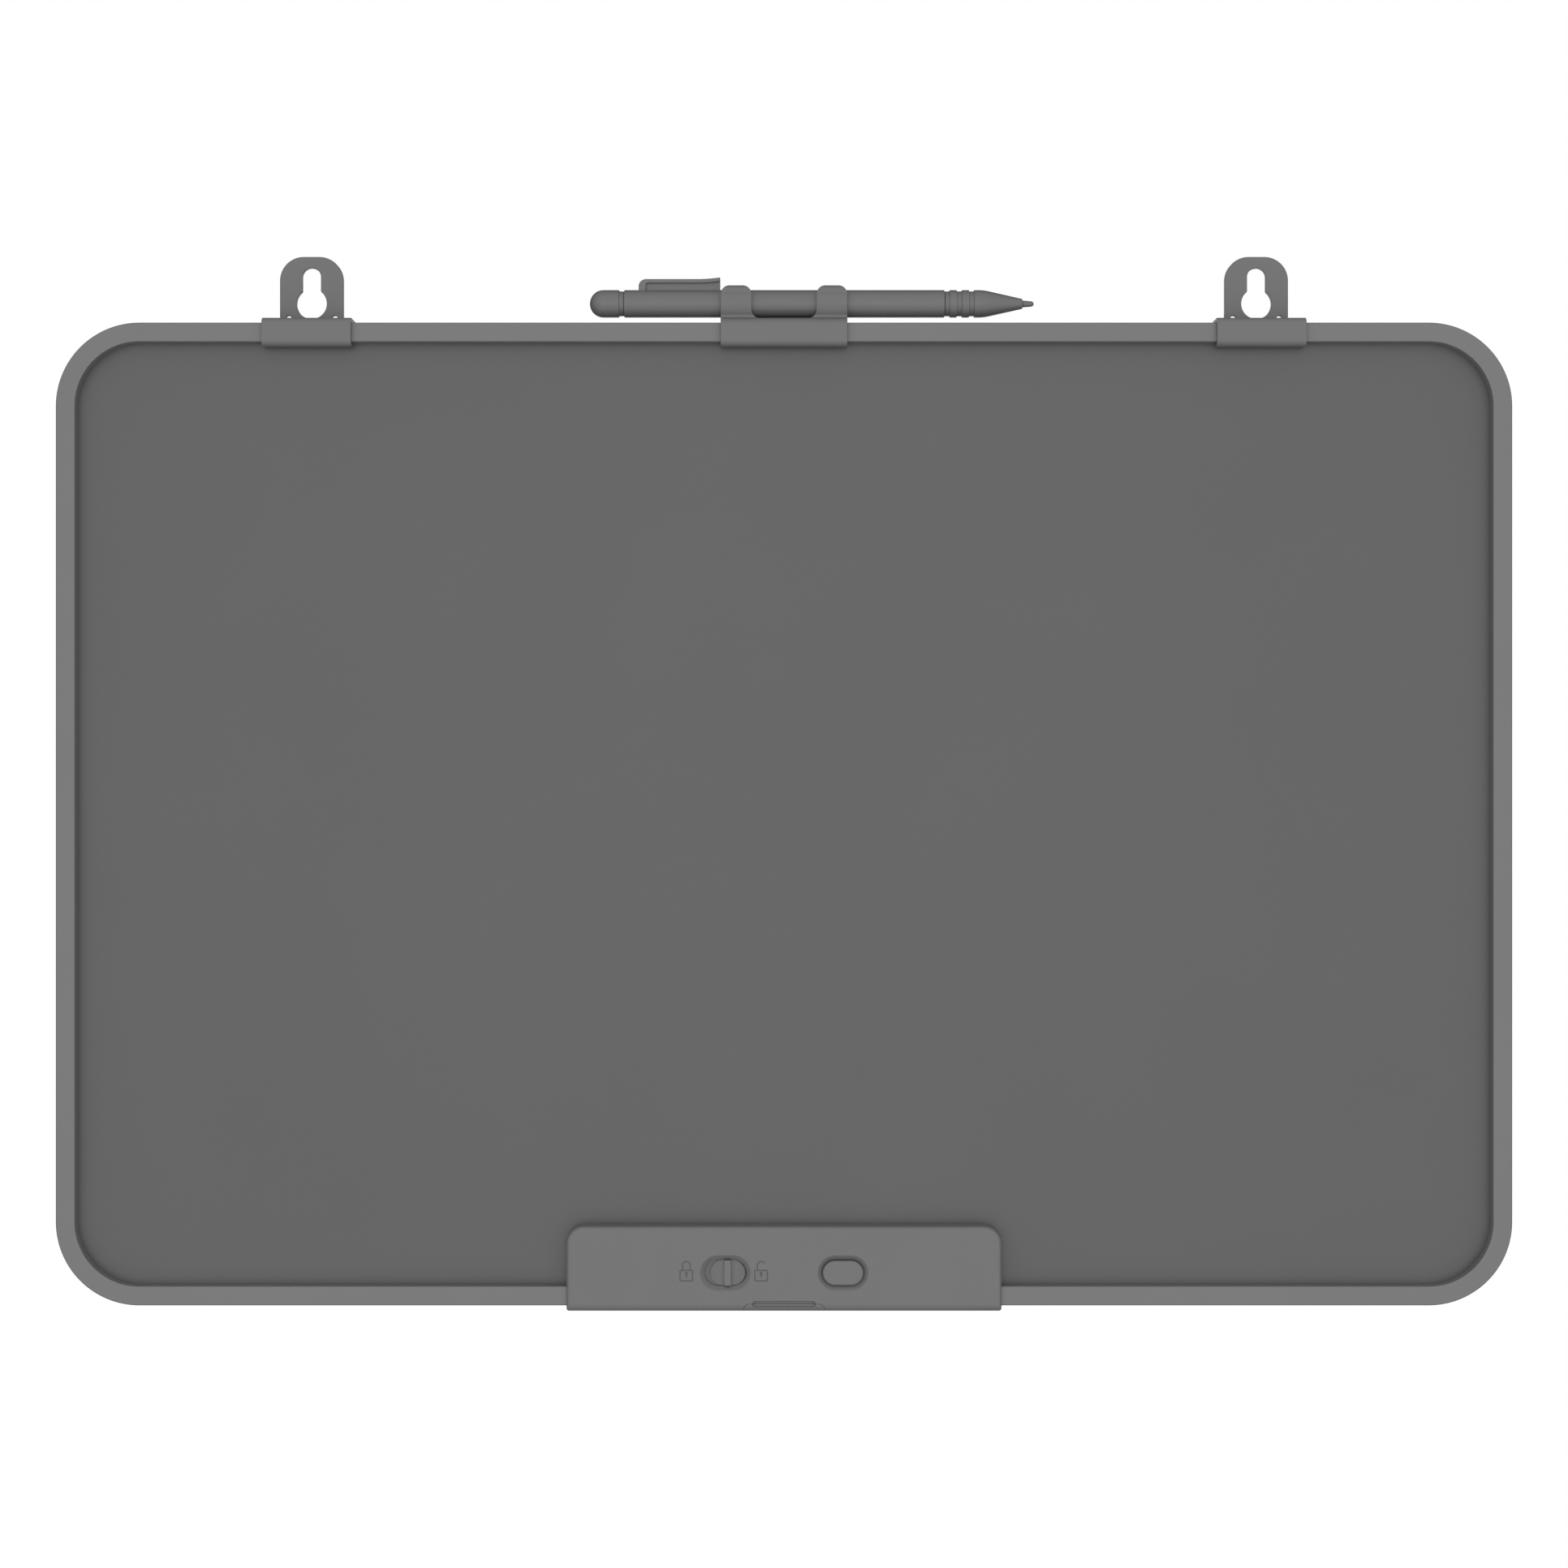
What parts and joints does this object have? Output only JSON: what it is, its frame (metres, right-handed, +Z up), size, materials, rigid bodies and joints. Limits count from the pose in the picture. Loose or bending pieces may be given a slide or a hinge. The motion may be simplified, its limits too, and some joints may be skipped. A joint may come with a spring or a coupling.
{
  "type": "lcd writing tablet",
  "caption": "Wall-hung LCD writing board: bezel frame round a writing sheet, clip-on keyhole hooks and pen holder with a pen, and a lower controller with lock slider, erase button and battery tray.",
  "frame": {"origin": "on the wall plane, midway between the two hooks, level with the centres of the round tops of their keyhole slots", "axes": "+X to the right seen from the front, +Y into the wall, +Z up; the writing side faces -Y"},
  "size_m": [0.4564, 0.0137, 0.3319],
  "materials": {
    "frame_plastic": "satin moulded ABS, mid grey",
    "case_plastic": "satin moulded ABS, mid grey",
    "pen_plastic": "satin moulded ABS, mid grey",
    "sheet_film": "anti-glare PET film over a dark writing layer",
    "panel_plastic": "fine-grained polystyrene sheet",
    "circuit_board": "green solder mask on glass-epoxy laminate",
    "black_plastic": "black moulded thermoplastic",
    "copper_film": "copper tracks on amber polyimide film",
    "nickel": "nickel-plated sheet metal",
    "steel": "zinc-plated steel"
  },
  "bodies": {
    "board": {"frame_bezel": "frame_plastic", "writing_sheet": "sheet_film", "support_board": "panel_plastic", "back_panel": "panel_plastic", "controller_front_shell": "case_plastic", "controller_rear_shell": "case_plastic", "controller_screw_1": "steel", "controller_screw_2": "steel", "controller_screw_3": "steel", "controller_screw_4": "steel", "lock_switch_body": "nickel", "erase_switch_body": "black_plastic", "control_board": "circuit_board", "driver_chip": "black_plastic", "lcd_connector_strip": "copper_film", "battery_contact_negative": "nickel", "battery_contact_positive": "nickel"},
    "left_hook": {"hook_left": "case_plastic"},
    "right_hook": {"hook_right": "case_plastic"},
    "holder": {"pen_holder": "case_plastic"},
    "pen": {"pen_tail_cap": "pen_plastic", "pen_barrel": "pen_plastic", "pen_nose": "pen_plastic", "pen_nib": "pen_plastic"},
    "lock_slider": {"lock_slider_knob": "case_plastic", "lock_switch_lever": "black_plastic"},
    "erase_button": {"erase_button_cap": "case_plastic", "erase_switch_plunger": "black_plastic"},
    "tray": {"battery_tray": "case_plastic", "coin_cell": "nickel"}
  },
  "joints": [
    {"name": "left_hook_slide", "type": "slide", "parent": "board", "child": "left_hook", "axis": [1, 0, 0], "range_m": [-0.035, 0.06]},
    {"name": "right_hook_slide", "type": "slide", "parent": "board", "child": "right_hook", "axis": [1, 0, 0], "range_m": [-0.06, 0.035]},
    {"name": "holder_slide", "type": "slide", "parent": "board", "child": "holder", "axis": [1, 0, 0], "range_m": [-0.03, 0.03]},
    {"name": "pen_pull", "type": "slide", "parent": "holder", "child": "pen", "axis": [-1, 0, 0], "range_m": [0, 0.0985]},
    {"name": "lock_slide", "type": "slide", "parent": "board", "child": "lock_slider", "axis": [-1, 0, 0], "range_m": [0, 0.0014]},
    {"name": "erase_press", "type": "slide", "parent": "board", "child": "erase_button", "axis": [0, 1, 0], "range_m": [0, 0.0005], "stiffness_N_per_m": 600},
    {"name": "tray_pull", "type": "slide", "parent": "board", "child": "tray", "axis": [0, 0, -1], "range_m": [0, 0.022]}
  ]
}
